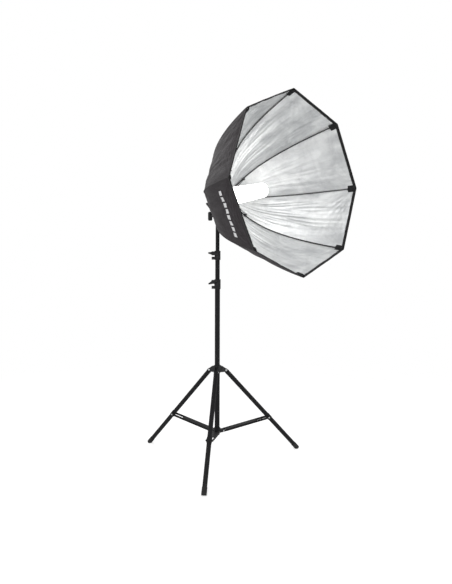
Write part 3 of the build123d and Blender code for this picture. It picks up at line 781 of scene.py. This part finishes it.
def dome(name, centre, way, size, material, body):
    """A rivet head: a low dome with a rolled edge, turned about its axis."""
    outline = [(1.0, -0.35), (1.03, 0.0), (1.0, 0.22), (0.86, 0.55), (0.6, 0.83), (0.3, 0.96), (0.0, 1.0)]
    around = RIVET_SIDES
    radius, high = size
    way = Vector(way).normalized()
    side = way.orthogonal().normalized()
    other = way.cross(side)
    points = []
    for share, lift in outline[:-1]:
        for index in range(around):
            angle = 2 * pi * index / around
            arm = side * cos(angle) + other * sin(angle)
            points.append(centre + arm * radius * share + way * high * lift)
    top = len(points)
    points.append(centre + way * high)
    faces = [tuple(reversed(range(around)))]
    for ring in range(len(outline) - 2):
        for index in range(around):
            a, b = ring * around + index, ring * around + (index + 1) % around
            faces.append((a, b, b + around, a + around))
    first = (len(outline) - 2) * around
    faces += [(first + index, first + (index + 1) % around, top) for index in range(around)]
    piece = piece_from(name, points, faces, [0] * len(faces), [material])
    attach(piece, body)


def make_rivets():
    """Bright rivet heads at the leg and brace pivots."""
    for leg in range(1, 4):
        hinge = JOINTS[f"leg_{leg}_hinge"]
        pivot, axis = Vector(hinge["pos_m"]), Vector(hinge["axis"])
        for letter, way in (("a", 1), ("b", -1)):
            out = axis * way
            dome(f"leg_rivet_{leg}{letter}", pivot + out * LEG_OUTSIDE, out, LEG_RIVET,
                 ZINC, "leg_collar")
        hinge = JOINTS[f"brace_{leg}_hinge"]
        pivot, axis = Vector(hinge["pos_m"]), Vector(hinge["axis"])
        outwards = Vector((pivot.x - STAND.x, pivot.y - STAND.y, 0)).normalized()
        end = Vector((STAND.x, STAND.y, BRACE_END[1])) + outwards * BRACE_END[0]
        for letter, way in (("a", 1), ("b", -1)):
            out = axis * way
            dome(f"brace_rivet_{leg}{letter}", pivot + out * BRACE_OUTSIDE, out, BRACE_RIVET,
                 ZINC, "base")
            dome(f"brace_end_rivet_{leg}{letter}", end + out * BRACE_OUTSIDE, out, BRACE_END_RIVET,
                 ZINC, f"brace_{leg}")


# ---------------------------------------------------------------- stage, light and camera

def make_stage():
    """The floor, as a grid."""
    steps = FLOOR_STEPS
    cell = FLOOR_SIZE / steps
    points = [((column - steps / 2) * cell, (row - steps / 2) * cell, FLOOR_HEIGHT)
              for row in range(steps + 1) for column in range(steps + 1)]
    faces = [(row * (steps + 1) + column, row * (steps + 1) + column + 1,
              (row + 1) * (steps + 1) + column + 1, (row + 1) * (steps + 1) + column)
             for row in range(steps) for column in range(steps)]
    floor = piece_from("floor", points, faces, [0] * len(faces), [pale_floor()])


def make_light():
    """An even white surround and three area lamps aimed at the hub."""
    world = bpy.data.worlds.new("white_studio")
    bpy.context.scene.world = world
    world.use_nodes = True
    sky = world.node_tree.nodes["Background"]
    sky.inputs["Color"].default_value = (1, 1, 1, 1)
    seen = node(world.node_tree, "LightPath").outputs["Is Camera Ray"]
    strength = node(world.node_tree, "MapRange", {"Value": seen, "To Min": WORLD_LIGHT, "To Max": 1.0})
    world.node_tree.links.new(strength.outputs["Result"], sky.inputs["Strength"])
    for name, place, size, power in LAMPS:
        lamp = bpy.data.lights.new(name, "AREA")
        lamp.size = size
        lamp.energy = power
        holder = bpy.data.objects.new(name, lamp)
        holder.location = place
        holder.rotation_euler = (HUB - Vector(place)).to_track_quat("-Z", "Y").to_euler()
        bpy.context.scene.collection.objects.link(holder)


def make_camera():
    azimuth = radians(CAMERA_AZIMUTH)
    back = Vector((sin(azimuth), -cos(azimuth), 0))
    place = Vector((STAND.x, STAND.y, CAMERA_HEIGHT)) + back * CAMERA_DISTANCE
    turn = Matrix.Rotation(azimuth - radians(CAMERA_YAW), 4, "Z")
    turn = turn @ Matrix.Rotation(radians(90 + CAMERA_PITCH), 4, "X")
    turn = turn @ Matrix.Rotation(radians(CAMERA_ROLL), 4, "Z")
    lens = bpy.data.cameras.new("camera")
    lens.lens = CAMERA_LENS
    lens.sensor_width = CAMERA_SENSOR
    lens.clip_end = CAMERA_FAR
    camera = bpy.data.objects.new("camera", lens)
    camera.matrix_world = Matrix.Translation(place) @ turn
    bpy.context.scene.collection.objects.link(camera)
    bpy.context.scene.camera = camera
    bpy.context.scene.view_settings.view_transform = "Standard"


make_camera()
make_light()
make_stage()
finish_cad_nodes()
make_cloth()
make_rivets()
